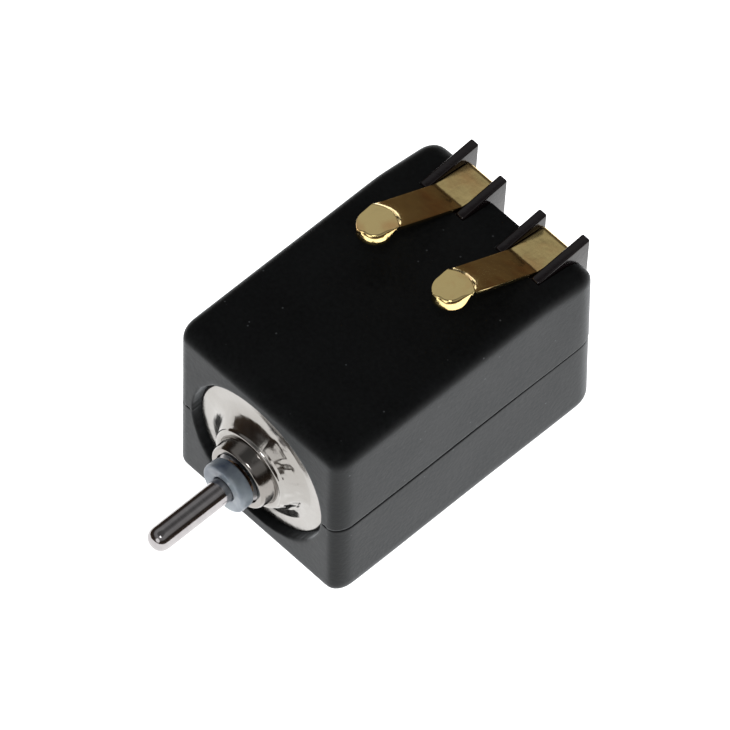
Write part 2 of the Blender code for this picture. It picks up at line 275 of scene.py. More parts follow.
def place_in_mm(tree, stretch=(1.0, 1.0, 1.0), centre=(0.0, 0.0, 0.0)):
    """Object coordinates in millimetres from a centre, stretched along the axes."""
    coords = tree.nodes.new("ShaderNodeTexCoord")
    mapping = tree.nodes.new("ShaderNodeMapping")
    mapping.inputs["Scale"].default_value = [s / MM for s in stretch]
    mapping.inputs["Location"].default_value = [-c * s for c, s in zip(centre, stretch)]
    tree.links.new(coords.outputs["Object"], mapping.inputs["Vector"])
    return mapping.outputs["Vector"]


def place_axis(tree, axis):
    """One object coordinate in millimetres."""
    axes = tree.nodes.new("ShaderNodeSeparateXYZ")
    tree.links.new(place_in_mm(tree), axes.inputs[0])
    return axes.outputs[axis]


def use_group(tree, group, coords, **values):
    """A shader group placed in a material, with its inputs set by name."""
    node = tree.nodes.new("ShaderNodeGroup")
    node.node_tree = group
    tree.links.new(coords, node.inputs["Place"])
    for label, value in values.items():
        node.inputs[label.replace("_", " ")].default_value = value
    return node


def new_look(name, colour, roughness, metallic=0.0, **sockets):
    """A material with its Principled shader's plain values set."""
    look = bpy.data.materials.new(name)
    look.use_nodes = True
    shader = look.node_tree.nodes["Principled BSDF"]
    shader.inputs["Base Color"].default_value = (*colour, 1.0)
    shader.inputs["Roughness"].default_value = roughness
    shader.inputs["Metallic"].default_value = metallic
    for label, value in sockets.items():
        shader.inputs[label.replace("_", " ")].default_value = value
    return look, look.node_tree, shader


def add_bump(tree, shader, height, distance, strength=1.0):
    """A Bump node that feeds the shader's normal; distance is in millimetres."""
    bump = tree.nodes.new("ShaderNodeBump")
    bump.inputs["Distance"].default_value = distance * MM
    bump.inputs["Strength"].default_value = strength
    tree.links.new(height, bump.inputs["Height"])
    tree.links.new(bump.outputs["Normal"], shader.inputs["Normal"])
    return bump


# Tool marks and handling: fine lines along one direction and blotches, for all metal pieces
tool_marks, marks_in, marks_out = node_group(
    "tool_marks",
    [("Place", "Vector", (0.0, 0.0, 0.0)), ("Line Scale", "Float", 12.0), ("Blotch Scale", "Float", 1.5)],
    [("Lines", "Float"), ("Blotches", "Float")])
line_noise = texture(tool_marks, "Noise", marks_in.outputs["Place"], Detail=3.0, Roughness=0.6)
tool_marks.links.new(marks_in.outputs["Line Scale"], line_noise.inputs["Scale"])
blotch_noise = texture(tool_marks, "Noise", marks_in.outputs["Place"], Detail=4.0, Roughness=0.55,
                       Distortion=0.4)
tool_marks.links.new(marks_in.outputs["Blotch Scale"], blotch_noise.inputs["Scale"])
tool_marks.links.new(remap(tool_marks, line_noise.outputs["Fac"], 0.3, 0.7), marks_out.inputs["Lines"])
tool_marks.links.new(remap(tool_marks, blotch_noise.outputs["Fac"], 0.35, 0.68),
                     marks_out.inputs["Blotches"])

can_low, can_high = span("motor_can")
AXIS_Z = (can_low.z + can_high.z) / 2
CAN_RADIUS = (can_high.z - can_low.z) / 2
BOOT_FRONT = span("rubber_boot")[0].y
CAN_FACE = BOOT_FRONT + 0.17
CAN_WALL = 0.15
NECK_RADIUS = 1.05
NECK_FRONT = BOOT_FRONT - 0.245
NOSE_FRONT = can_low.y
TUBE_RADIUS = (span("bearing_tube")[1].x - span("bearing_tube")[0].x) / 2

can_profile = [
    (TUBE_RADIUS + 0.02, NOSE_FRONT, 0.01), (0.785, NOSE_FRONT, 0.02), (0.82, NOSE_FRONT + 0.06, 0.03),
    (0.875, NECK_FRONT + 0.03, 0.03), (0.90, NECK_FRONT, 0.02), (NECK_RADIUS - 0.02, NECK_FRONT, 0.04),
    (NECK_RADIUS, CAN_FACE - 0.345, 0.02), (NECK_RADIUS + 0.05, CAN_FACE - 0.295, 0.05),
    (NECK_RADIUS + 0.27, CAN_FACE - 0.06, 0.15), (NECK_RADIUS + 0.49, CAN_FACE, 0.12),
    (CAN_RADIUS - 0.20, CAN_FACE, 0.10),
    (CAN_RADIUS, CAN_FACE + 0.01, 0.20), (CAN_RADIUS, can_high.y, 0.03),
    (CAN_RADIUS - CAN_WALL, can_high.y, 0.03), (CAN_RADIUS - CAN_WALL, CAN_FACE + CAN_WALL, 0.15),
    (NECK_RADIUS + 0.25, CAN_FACE + CAN_WALL, 0.15), (0.88, CAN_FACE - 0.05, 0.04),
    (0.87, BOOT_FRONT - 0.10, 0.03), (TUBE_RADIUS + 0.02, BOOT_FRONT - 0.12, 0.02)]
can = turned("nickel_can", can_profile, steps=192)

nickel, tree, shader = new_look("drawn_nickel", (0.66, 0.63, 0.60), 0.20, 1.0)
marks = use_group(tree, tool_marks, place_in_mm(tree), Line_Scale=7.0, Blotch_Scale=0.9)
radial = tree.nodes.new("ShaderNodeVectorMath")
radial.operation = "LENGTH"
tree.links.new(place_in_mm(tree, (1.0, 0.0, 1.0), (0.0, 0.0, AXIS_Z)), radial.inputs[0])
from_axis = radial.outputs["Value"]
on_fillet = calculate(tree, "MULTIPLY", remap(tree, from_axis, 1.00, 1.10),
                      remap(tree, from_axis, 1.55, 1.30))
orange_peel = texture(tree, "Noise", place_in_mm(tree), Scale=2.6, Detail=1.0, Roughness=0.5)
to_right = remap(tree, place_axis(tree, "X"), 0.35, 0.85, 0.12, 1.0)
peel_on_fillet = calculate(tree, "MULTIPLY", orange_peel.outputs["Fac"], on_fillet)
wrinkled = calculate(tree, "MULTIPLY", peel_on_fillet, to_right)
height = calculate(tree, "ADD", wrinkled, calculate(tree, "MULTIPLY", marks.outputs["Lines"], 0.01))
add_bump(tree, shader, height, 0.12)
silver = tint(tree, marks.outputs["Blotches"], (0.325, 0.315, 0.30), (0.285, 0.272, 0.255))
# Painted shade: the nose, inside 0.90 mm radius and blending back to the can's colour by 1.02 mm, is
# coloured darker to stand in for the dark reflection on its side.
painted_nose_shade = tint(tree, remap(tree, from_axis, 0.90, 1.02), (0.24, 0.225, 0.21), silver)
tree.links.new(painted_nose_shade, shader.inputs["Base Color"])
tree.links.new(remap(tree, marks.outputs["Lines"], 0.0, 1.0, 0.11, 0.21), shader.inputs["Roughness"])
settle(can, nickel, "housing", "nickel", "motor_can")

# ---------------------------------------------------------------- bearing tube and bearings
# The steel tube runs from the nose to behind the magnet. A sintered bronze sleeve at either end
# carries the shaft; the front one shows as a dark ring behind the spacer.

tube_low, tube_high = span("bearing_tube")
TUBE_BORE = 0.47
tube = turned("steel_tube", [(TUBE_BORE, tube_low.y, 0.02), (TUBE_RADIUS, tube_low.y, 0.03),
                             (TUBE_RADIUS, tube_high.y, 0.03), (TUBE_BORE, tube_high.y, 0.02)], steps=96)
tube_steel, tree, shader = new_look("tube_steel", (0.30, 0.29, 0.29), 0.30, 1.0)
marks = use_group(tree, tool_marks, place_in_mm(tree, (1.0, 6.0, 1.0)), Line_Scale=3.0, Blotch_Scale=0.8)
tree.links.new(tint(tree, marks.outputs["Lines"], (0.34, 0.33, 0.33), (0.24, 0.23, 0.23)),
               shader.inputs["Base Color"])
add_bump(tree, shader, marks.outputs["Lines"], 0.002)
settle(tube, tube_steel, "housing", "steel", "bearing_tube")

bronze, tree, shader = new_look("sintered_bronze", (0.33, 0.19, 0.10), 0.55, 1.0)
pores = texture(tree, "Voronoi", place_in_mm(tree), Scale=22.0)
pits = remap(tree, pores.outputs["Distance"], 0.10, 0.42)
tree.links.new(tint(tree, pits, (0.10, 0.06, 0.03), (0.42, 0.25, 0.13)), shader.inputs["Base Color"])
add_bump(tree, shader, pits, 0.006)
BEARING_BORE = 0.32
BEARING_RECESS = 0.08
for node in ("front_bearing", "rear_bearing"):
    low, high = span(node)
    outer = (high.x - low.x) / 2
    front = low.y + BEARING_RECESS
    sleeve = turned("sintered_" + node, [(BEARING_BORE, front, 0.04), (outer, front, 0.03),
                                         (outer, high.y, 0.03), (BEARING_BORE, high.y, 0.04)], steps=96)
    settle(sleeve, bronze, "housing", "bronze", node)

# ---------------------------------------------------------------- magnet
# Sintered ring, ground outside and nickel-plated, glued on the bearing tube.

magnet_low, magnet_high = span("magnet")
MAGNET_RADIUS = (magnet_high.x - magnet_low.x) / 2
MAGNET_BORE = TUBE_RADIUS + 0.02
magnet = turned("ring_magnet", [(MAGNET_BORE, magnet_low.y, 0.04), (MAGNET_RADIUS, magnet_low.y, 0.08),
                                (MAGNET_RADIUS, magnet_high.y, 0.08), (MAGNET_BORE, magnet_high.y, 0.04)])
plated, tree, shader = new_look("plated_magnet", (0.36, 0.36, 0.38), 0.32, 1.0)
marks = use_group(tree, tool_marks, place_in_mm(tree), Line_Scale=5.0, Blotch_Scale=1.4)
tree.links.new(tint(tree, marks.outputs["Blotches"], (0.40, 0.40, 0.42), (0.24, 0.24, 0.26)),
               shader.inputs["Base Color"])
add_bump(tree, shader, marks.outputs["Lines"], 0.004)
settle(magnet, plated, "housing", "magnet", "magnet")

# ---------------------------------------------------------------- shaft
# Ground steel pin, 0.6 mm thick, with a rounded free end. It runs through both bearings and carries
# the hub of the coil at the back.

shaft_low, shaft_high = span("shaft")
SHAFT_RADIUS = (shaft_high.x - shaft_low.x) / 2
shaft_profile = [
    (0.0, shaft_low.y, 0.0), (0.12, shaft_low.y + 0.015, 0.06), (0.22, shaft_low.y + 0.075, 0.06),
    (0.28, shaft_low.y + 0.165, 0.06), (SHAFT_RADIUS, shaft_low.y + 0.27, 0.05),
    (SHAFT_RADIUS, -1.0, 0.0), (SHAFT_RADIUS, shaft_high.y, 0.04), (0.0, shaft_high.y, 0.0)]
shaft = turned("ground_shaft", shaft_profile, closed=False, steps=96)
steel, tree, shader = new_look("ground_steel", (0.50, 0.49, 0.49), 0.18, 1.0)
marks = use_group(tree, tool_marks, place_in_mm(tree, (1.0, 9.0, 1.0)), Line_Scale=3.0, Blotch_Scale=0.6)
tree.links.new(tint(tree, marks.outputs["Blotches"], (0.39, 0.375, 0.375), (0.33, 0.315, 0.32)),
               shader.inputs["Base Color"])
tree.links.new(remap(tree, marks.outputs["Lines"], 0.0, 1.0, 0.10, 0.17), shader.inputs["Roughness"])
add_bump(tree, shader, marks.outputs["Lines"], 0.0004)
settle(shaft, steel, "rotor", "steel", "shaft")

# ---------------------------------------------------------------- spacer
# Pale blue nylon collar on the shaft, pushed up close to the nose. It lets some light through.

spacer_low, spacer_high = span("shaft_spacer")
SPACER_RADIUS = (spacer_high.x - spacer_low.x) / 2
SPACER_BORE = SHAFT_RADIUS + 0.015
spacer_profile = [
    (SPACER_BORE, spacer_low.y + 0.03, 0.03), (SHAFT_RADIUS + 0.10, spacer_low.y + 0.01, 0.04),
    (SPACER_RADIUS - 0.04, spacer_low.y, 0.06), (SPACER_RADIUS, spacer_low.y + 0.06, 0.05),
    (SPACER_RADIUS - 0.01, spacer_high.y - 0.03, 0.03), (SPACER_RADIUS - 0.05, spacer_high.y, 0.03),
    (SPACER_BORE, spacer_high.y, 0.02)]
spacer = turned("nylon_spacer", spacer_profile, steps=96)
nylon, tree, shader = new_look("blue_nylon", (0.36, 0.44, 0.52), 0.34, Transmission_Weight=0.35, IOR=1.53)
cloud = texture(tree, "Noise", place_in_mm(tree), Scale=2.0, Detail=4.0)
milky = remap(tree, cloud.outputs["Fac"], 0.30, 0.62)
tree.links.new(tint(tree, milky, (0.09, 0.12, 0.19), (0.37, 0.43, 0.48)), shader.inputs["Base Color"])
add_bump(tree, shader, cloud.outputs["Fac"], 0.02)
settle(spacer, nylon, "rotor", "blue_nylon", "shaft_spacer")

# ---------------------------------------------------------------- contacts
# Two strips of gold-plated spring alloy, 0.09 mm thick. Each is folded over the back of its tower,
# lies in the channel, rises from a sharp crease and ends in a round button with a rolled rim.

STRIP_THICKNESS = 0.09
CREASE_Z = 5.17                    # upper face of the strip at the crease
BUTTON_RADIUS = 0.42
BUTTON_Y = 0.60
BUTTON_Z = 6.285
BUTTON_BACK = 0.93                 # where the button's straight sides end
BUTTON_BULGE = 0.17                # how far its round back reaches up the leaf
STEP_RUN = 0.085                   # length over which the step behind it fades
LEAF_TOP_Z = 6.248                 # where the leaf's slope would end
TIP_FLOOR_Z = 5.7                  # all of the tip is above this, and all of the flat is below
RIM_STEPS = [(0.022, 0.006), (0.018, 0.018), (0.027, 0.060), (0.027, 0.062), (0.022, 0.062), (0.0, 0.03)]
RIM_WIDTH = sum(out for out, _ in RIM_STEPS)
SIDES = ("left", "right")


def route(corners, spacing):
    """Points spaced along a run of (y, z, rounding) corners."""
    line = eased(corners, False)
    points = [line[0]]
    for start, end in zip(line, line[1:]):
        pieces = max(1, round((end - start).length / spacing))
        points += [start.lerp(end, i / pieces) for i in range(1, pieces + 1)]
    return points


def tip_height(across, y, leaf):
    """Height of a strip's upper face near its end: a level button, and the step at its round back."""
    behind = y - BUTTON_BACK - BUTTON_BULGE * (1 - (across / BUTTON_RADIUS) ** 2)
    if behind <= 0:
        return BUTTON_Z
    return leaf(y) + (BUTTON_Z - leaf(y - behind)) * math.exp(-behind / STEP_RUN)


def rim_share(y):
    """How much of the rolled rim there is at y: all of it round the tip, none at the leaf."""
    rim_end = BUTTON_BACK - 0.05
    share = min(1.0, max(0.0, (rim_end - y) / (rim_end - BUTTON_Y)))
    return share * share * (3 - 2 * share)


def rim_reach(away):
    """How far the rim leans out in a direction: fully at the front right, hardly at the left."""
    facing = min(1.0, max(0.0, (away.x - away.y) / math.sqrt(2) * 1.5 - 0.25))
    return 0.12 + 0.88 * facing * facing * (3 - 2 * facing)


def roll_rim(strip, centre_x):
    """Draws the tip's edge outwards and down in small steps, to make the button's rolled rim."""
    bpy.ops.mesh.select_all(action="DESELECT")
    bpy.ops.mesh.select_mode(type="EDGE")
    sheet = bmesh.from_edit_mesh(strip.data)
    for edge in sheet.edges:
        at_tip = all(v.co.y < BUTTON_BACK and v.co.z > TIP_FLOOR_Z for v in edge.verts)
        edge.select_set(edge.is_boundary and at_tip)
    bmesh.update_edit_mesh(strip.data)
    for out, down in RIM_STEPS:
        bpy.ops.mesh.extrude_edges_move()
        sheet = bmesh.from_edit_mesh(strip.data)
        for vert in sheet.verts:
            if vert.select:
                share = rim_share(vert.co.y)
                away = Vector((vert.co.x - centre_x, min(0.0, vert.co.y - BUTTON_Y), 0.0)).normalized()
                vert.co += (away * out * rim_reach(away) + Vector((0.0, 0.0, -down))) * share
        bmesh.update_edit_mesh(strip.data)
    bpy.ops.mesh.select_mode(type="VERT")
    bpy.ops.mesh.select_all(action="SELECT")
    bpy.ops.mesh.remove_doubles(threshold=0.0008)


def make_strip(side):
    """One contact strip as a sheet drawn out along its route, then thickened."""
    base_low, base_high = span("contact_base_" + side)
    centre_x = (base_low.x + base_high.x) / 2
    half_width = (base_high.x - base_low.x) / 2
    crease = base_low.y
    rise = (LEAF_TOP_Z - CREASE_Z) / (crease - BUTTON_BACK)
    flat_radius = BUTTON_RADIUS - RIM_WIDTH
    tip_y = BUTTON_Y - flat_radius + 0.002
    corners = [(base_high.y - 0.02, base_low.z, 0.0), (base_high.y - 0.005, 4.965, 0.13),
               (crease, CREASE_Z, 0.035), (BUTTON_BACK, LEAF_TOP_Z, 0.0), (tip_y, LEAF_TOP_Z, 0.0)]
    points = route(corners, 0.024)
    bpy.ops.mesh.primitive_grid_add(x_subdivisions=28, y_subdivisions=1, size=1.0)
    strip = bpy.context.active_object
    strip.name = "contact_strip_" + side
    pick_only(strip)
    bpy.ops.object.mode_set(mode="EDIT")
    sheet = bmesh.from_edit_mesh(strip.data)
    bmesh.ops.delete(sheet, geom=[v for v in sheet.verts if v.co.y > 0.0], context="VERTS")
    for vert in sheet.verts:
        vert.co = (centre_x + vert.co.x * 2 * half_width, points[0].x, points[0].y)
    bmesh.update_edit_mesh(strip.data)
    bpy.ops.mesh.select_all(action="SELECT")
    for start, end in zip(points, points[1:]):
        step = end - start
        bpy.ops.mesh.extrude_region_move(TRANSFORM_OT_translate={"value": (0.0, step.x, step.y)})
    sheet = bmesh.from_edit_mesh(strip.data)
    for vert in sheet.verts:
        if vert.co.y < BUTTON_BACK + 0.75 and vert.co.z > TIP_FLOOR_Z:
            across = vert.co.x - centre_x
            ahead = max(0.0, BUTTON_Y - vert.co.y) / flat_radius
            side_way = Vector((math.copysign(1.0, across), 0.0, 0.0))
            across *= math.sqrt(max(0.0, 1 - ahead * ahead))
            if ahead > 0:
                away = Vector((across, vert.co.y - BUTTON_Y, 0.0)) / half_width
                spread = (BUTTON_RADIUS - RIM_WIDTH * rim_reach(away.normalized())) / flat_radius
                across *= flat_radius / half_width * spread
                vert.co.y = BUTTON_Y + (vert.co.y - BUTTON_Y) * spread
            else:
                across *= 1 - RIM_WIDTH * rim_reach(side_way) / half_width * rim_share(vert.co.y)
            vert.co.x = centre_x + across
            vert.co.z = tip_height(across, vert.co.y, lambda y: CREASE_Z + (crease - y) * rise)
    bmesh.update_edit_mesh(strip.data)
    roll_rim(strip, centre_x)
    bpy.ops.mesh.select_all(action="SELECT")
    bpy.ops.mesh.normals_make_consistent(inside=False)
    bpy.ops.object.mode_set(mode="OBJECT")
    foot = min(strip.data.polygons, key=lambda face: face.center.z)
    if foot.normal.y < 0:                            # the foot's outer side faces back
        strip.data.flip_normals()
    wall = strip.modifiers.new("thickness", "SOLIDIFY")
    wall.thickness = STRIP_THICKNESS
    wall.offset = -1.0
    edges = strip.modifiers.new("edges", "BEVEL")
    edges.width = 0.022
    edges.segments = 2
    edges.limit_method = "ANGLE"
    edges.angle_limit = math.radians(60)
    for modifier in ("thickness", "edges"):
        bpy.ops.object.modifier_apply(modifier=modifier)
    return strip


gold, tree, shader = new_look("gold_plate", (0.72, 0.55, 0.27), 0.20, 1.0)
marks = use_group(tree, tool_marks, place_in_mm(tree, (5.0, 0.7, 0.7)), Line_Scale=2.2, Blotch_Scale=0.5)
soft = texture(tree, "Noise", place_in_mm(tree), Scale=1.5, Detail=3.0)
plate = tint(tree, marks.outputs["Lines"], (0.98, 0.775, 0.35), (0.95, 0.75, 0.335))
stain = remap(tree, soft.outputs["Fac"], 0.46, 0.76)
tree.links.new(tint(tree, stain, plate, (0.84, 0.50, 0.21)), shader.inputs["Base Color"])
flat_front = span("contact_base_left")[0].y
flats = remap(tree, place_axis(tree, "Y"), flat_front - 0.02, flat_front + 0.02, 0.0, 0.10)
polish = remap(tree, marks.outputs["Blotches"], 0.0, 1.0, 0.11, 0.19)
tree.links.new(calculate(tree, "ADD", flats, polish), shader.inputs["Roughness"])
lines = calculate(tree, "MULTIPLY", marks.outputs["Lines"], 0.03)
waves = calculate(tree, "ADD", soft.outputs["Fac"], lines)
add_bump(tree, shader, waves, 0.02)
for side in SIDES:
    strip = make_strip(side)
    settle(strip, gold, None, "gold", "contact_base_" + side, "contact_leaf_" + side, angle=50)
    base_low, base_high = span("contact_base_" + side)
    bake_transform(strip)

# ---------------------------------------------------------------- carrier
# Glossy black plastic moulding behind the motor: a disc and two towers, each a channel between
# two thin ribs. The outer ribs stand back further than the inner ones.


def side_plate(name, outline, width, centre_x, bevel):
    """A flat plate across X with a side outline of (y, z) points and eased edges."""
    bpy.ops.mesh.primitive_circle_add(vertices=len(outline), radius=1.0, fill_type="NGON")
    plate = bpy.context.active_object
    plate.name = name
    pick_only(plate)
    for vert, (y, z) in zip(plate.data.vertices, outline):
        vert.co = (centre_x - width / 2, y, z)
    bpy.ops.object.mode_set(mode="EDIT")
    bpy.ops.mesh.select_all(action="SELECT")
    bpy.ops.mesh.extrude_region_move(TRANSFORM_OT_translate={"value": (width, 0.0, 0.0)})
    bpy.ops.mesh.select_all(action="SELECT")
    bpy.ops.mesh.normals_make_consistent(inside=False)
    bpy.ops.mesh.bevel(offset=bevel, offset_type="OFFSET", segments=3, affect="EDGES")
    bpy.ops.object.mode_set(mode="OBJECT")
    return plate


def joined(name, parts):
    """Several pieces made into one."""
    bpy.ops.object.select_all(action="DESELECT")
    for part in parts:
        part.select_set(True)
    bpy.context.view_layer.objects.active = parts[0]
    bpy.ops.object.join()
    parts[0].name = name
    return parts[0]


# Moulded grain and settled dust, for the rubber and the plastics
moulded, moulded_in, moulded_out = node_group(
    "moulded_grain",
    [("Place", "Vector", (0.0, 0.0, 0.0)), ("Grain Scale", "Float", 20.0), ("Dust Scale", "Float", 2.2)],
    [("Height", "Float"), ("Tone", "Float"), ("Dust", "Float")])
grain = texture(moulded, "Noise", moulded_in.outputs["Place"], Detail=3.0, Roughness=0.65)
moulded.links.new(moulded_in.outputs["Grain Scale"], grain.inputs["Scale"])
patches = texture(moulded, "Noise", moulded_in.outputs["Place"], Scale=0.8, Detail=4.0)
specks = texture(moulded, "Voronoi", moulded_in.outputs["Place"])
moulded.links.new(moulded_in.outputs["Dust Scale"], specks.inputs["Scale"])
moulded.links.new(grain.outputs["Fac"], moulded_out.inputs["Height"])
tone = calculate(moulded, "ADD", calculate(moulded, "MULTIPLY", grain.outputs["Fac"], 0.6),
                 calculate(moulded, "MULTIPLY", patches.outputs["Fac"], 0.4))
moulded.links.new(remap(moulded, tone, 0.35, 0.65), moulded_out.inputs["Tone"])
moulded.links.new(remap(moulded, specks.outputs["Distance"], 0.060, 0.035), moulded_out.inputs["Dust"])

CARRIER_FRONT = span("terminal_carrier")[0].y
CARRIER_BACK = 3.47
TOWER_BACK = 3.86
RIB_THICKNESS = 0.25
CHANNEL_HALF = 0.44
RIB_FRONT = CARRIER_FRONT + 0.02
RIB_BACK = 3.99
OUTER_RIB_BACK = 4.21
FOOT_Z = 3.0                       # the towers start inside the disc
DISC_FRONT = CARRIER_FRONT + 0.005
DISC_RADIUS = CAN_RADIUS - 0.01
disc = turned("carrier", [(0.0, DISC_FRONT, 0.0), (DISC_RADIUS, DISC_FRONT, 0.05),
                          (DISC_RADIUS, CARRIER_BACK, 0.12), (0.0, CARRIER_BACK, 0.0)], closed=False)
carrier_parts = [disc]
tower_centres = {}
for side in SIDES:
    base_low, base_high = span("contact_base_" + side)
    tower_centres[side] = (base_low.x + base_high.x) / 2
rib_middle = sum(tower_centres.values()) / 2
for side, centre_x in tower_centres.items():
    seat_back = TOWER_BACK - 0.01
    seat = [(RIB_FRONT, FOOT_Z), (seat_back, FOOT_Z), (seat_back, 4.86), (2.80, 5.07), (RIB_FRONT, 5.12)]
    carrier_parts.append(side_plate("seat", seat, 2 * CHANNEL_HALF + 0.1, centre_x, 0.02))
    for way in (-1, 1):
        rib_x = centre_x + way * (CHANNEL_HALF + RIB_THICKNESS / 2)
        outer = abs(rib_x - rib_middle) > abs(centre_x - rib_middle)
        back = OUTER_RIB_BACK if outer else RIB_BACK
        rib = [(RIB_FRONT, FOOT_Z), (back - 0.12, FOOT_Z), (back, 5.33), (2.835, 5.20), (RIB_FRONT, 5.185)]
        carrier_parts.append(side_plate("rib", rib, RIB_THICKNESS - 0.01, rib_x, 0.045))
carrier = joined("terminal_carrier_moulding", carrier_parts)
plastic, tree, shader = new_look("glossy_plastic", (0.006, 0.0045, 0.0055), 0.20, IOR=1.50)
skin = use_group(tree, moulded, place_in_mm(tree), Grain_Scale=6.0, Dust_Scale=2.0)
tree.links.new(tint(tree, skin.outputs["Dust"], (0.0085, 0.0045, 0.0055), (0.08, 0.08, 0.08)),
               shader.inputs["Base Color"])
tree.links.new(remap(tree, skin.outputs["Tone"], 0.0, 1.0, 0.13, 0.24), shader.inputs["Roughness"])
add_bump(tree, shader, skin.outputs["Height"], 0.006)
settle(carrier, plastic, "housing", "black_plastic", "terminal_carrier")

# ---------------------------------------------------------------- end cap, brushes, terminals
# The plastic cap closes the can. Two copper brushes reach forward to the commutator and two
# plated tabs lead back to the strips. Nothing of this is seen from outside.

cap_low, cap_high = span("end_cap")
PLUG_RADIUS = CAN_RADIUS - CAN_WALL - 0.03
PLUG_BORE = 1.44
cap_floor = can_high.y + 0.025
cap_rim = can_high.y + 0.03
cap_profile = [
    (0.0, cap_floor, 0.0), (PLUG_BORE, cap_floor, 0.04), (PLUG_BORE, cap_low.y, 0.03),
    (PLUG_RADIUS, cap_low.y, 0.05), (PLUG_RADIUS, cap_rim, 0.02), (CAN_RADIUS, cap_rim, 0.03),
    (CAN_RADIUS, cap_high.y, 0.10), (0.0, cap_high.y, 0.0)]
cap = turned("plastic_cap", cap_profile, closed=False)
settle(cap, plastic, "housing", "black_plastic", "end_cap")

copper, tree, shader = new_look("bare_copper", (0.62, 0.27, 0.14), 0.30, 1.0)
marks = use_group(tree, tool_marks, place_in_mm(tree, (1.0, 1.0, 0.3)), Line_Scale=9.0, Blotch_Scale=2.0)
tree.links.new(tint(tree, marks.outputs["Blotches"], (0.66, 0.30, 0.16), (0.36, 0.14, 0.07)),
               shader.inputs["Base Color"])
tree.links.new(remap(tree, marks.outputs["Lines"], 0.0, 1.0, 0.24, 0.40), shader.inputs["Roughness"])
add_bump(tree, shader, marks.outputs["Lines"], 0.001)


def cut_box(piece, low, high):
    """Takes a box between two corners out of a piece."""
    bpy.ops.mesh.primitive_cube_add(size=1.0)
    cutter = bpy.context.active_object
    cutter.scale = [b - a for a, b in zip(low, high)]
    cutter.location = [(a + b) / 2 for a, b in zip(low, high)]
    bpy.context.view_layer.update()
    pick_only(piece)
    cut = piece.modifiers.new("cut", "BOOLEAN")
    cut.object = cutter
    cut.operation = "DIFFERENCE"
    cut.solver = "MANIFOLD"
    bpy.ops.object.modifier_apply(modifier="cut")
    bpy.data.objects.remove(cutter)


SLIT_HALF = 0.015
SLIT_FLOOR = 0.3                   # height of the unslit part of a brush


def small_bar(name, node, bevel, fork=False):
    """A flat bar in a node's box with eased edges; a forked one is slit from its upper end."""
    low, high = span(node)
    bpy.ops.mesh.primitive_cube_add(size=1.0, location=(low + high) / 2)
    bar = bpy.context.active_object
    bar.name = name
    bar.scale = high - low
    bpy.ops.object.transform_apply(location=True, rotation=True, scale=True)
    if fork:
        middle = (low.y + high.y) / 2
        cut_box(bar, (low.x - 1, middle - SLIT_HALF, low.z + SLIT_FLOOR),
                (high.x + 1, middle + SLIT_HALF, high.z + 1))
    pick_only(bar)
    bpy.ops.object.mode_set(mode="EDIT")
    bpy.ops.mesh.select_all(action="SELECT")
    bpy.ops.mesh.bevel(offset=bevel, segments=2, affect="EDGES")
    bpy.ops.object.mode_set(mode="OBJECT")
    return bar


for side in SIDES:
    brush = small_bar("copper_brush_" + side, "brush_" + side, 0.008, fork=True)
    settle(brush, copper, "housing", "copper", "brush_" + side)
    tab = small_bar("plated_terminal_" + side, "terminal_" + side, 0.012)
    settle(tab, gold, "housing", "gold", "terminal_" + side)

# ---------------------------------------------------------------- coil, hub, commutator, washer
# Self-supporting cup coil of fine enamelled wire wound on the skew, potted in a pale resin hub.
# The hub carries three plated commutator segments; a nylon washer runs between hub and bearing.

coil_low, coil_high = span("coil")
COIL_OUTER = (coil_high.x - coil_low.x) / 2
COIL_INNER = 1.42
coil = turned("wound_coil", [(COIL_INNER, coil_low.y, 0.08), (COIL_OUTER, coil_low.y, 0.08),
                             (COIL_OUTER, coil_high.y, 0.03), (COIL_INNER, coil_high.y, 0.03)])
wire, tree, shader = new_look("enamelled_wire", (0.50, 0.17, 0.07), 0.28, 1.0)
axes = tree.nodes.new("ShaderNodeSeparateXYZ")
tree.links.new(place_in_mm(tree, centre=(0.0, 0.0, AXIS_Z)), axes.inputs[0])
TURNS = 360
SKEW = 62.0
angle = calculate(tree, "ARCTAN2", axes.outputs["X"], axes.outputs["Z"])
around = calculate(tree, "MULTIPLY", angle, TURNS / 2)
skewed = calculate(tree, "ADD", around, calculate(tree, "MULTIPLY", axes.outputs["Y"], SKEW))
turns = calculate(tree, "ABSOLUTE", calculate(tree, "SINE", skewed))
tree.links.new(tint(tree, turns, (0.14, 0.04, 0.015), (0.62, 0.24, 0.10)), shader.inputs["Base Color"])
add_bump(tree, shader, turns, 0.012)
settle(coil, wire, "rotor", "copper", "coil")

hub_low, hub_high = span("coil_hub")
segment_low, segment_high = span("commutator_segment_1")
SLEEVE = 0.38
HUB_BORE = SHAFT_RADIUS + 0.02
flange_back = segment_low.y - 0.06
hub = turned("resin_hub", [(HUB_BORE, hub_low.y, 0.03), (COIL_OUTER, hub_low.y, 0.03),
                           (COIL_OUTER, flange_back, 0.06), (SLEEVE, flange_back, 0.03),
                           (SLEEVE, hub_high.y, 0.02), (HUB_BORE, hub_high.y, 0.02)])
resin, tree, shader = new_look("pale_resin", (0.66, 0.61, 0.50), 0.42)
skin = use_group(tree, moulded, place_in_mm(tree), Grain_Scale=4.0, Dust_Scale=3.0)
tree.links.new(tint(tree, skin.outputs["Tone"], (0.58, 0.52, 0.41), (0.72, 0.68, 0.58)),
               shader.inputs["Base Color"])
add_bump(tree, shader, skin.outputs["Height"], 0.01)
settle(hub, resin, "rotor", "white_resin", "coil_hub")

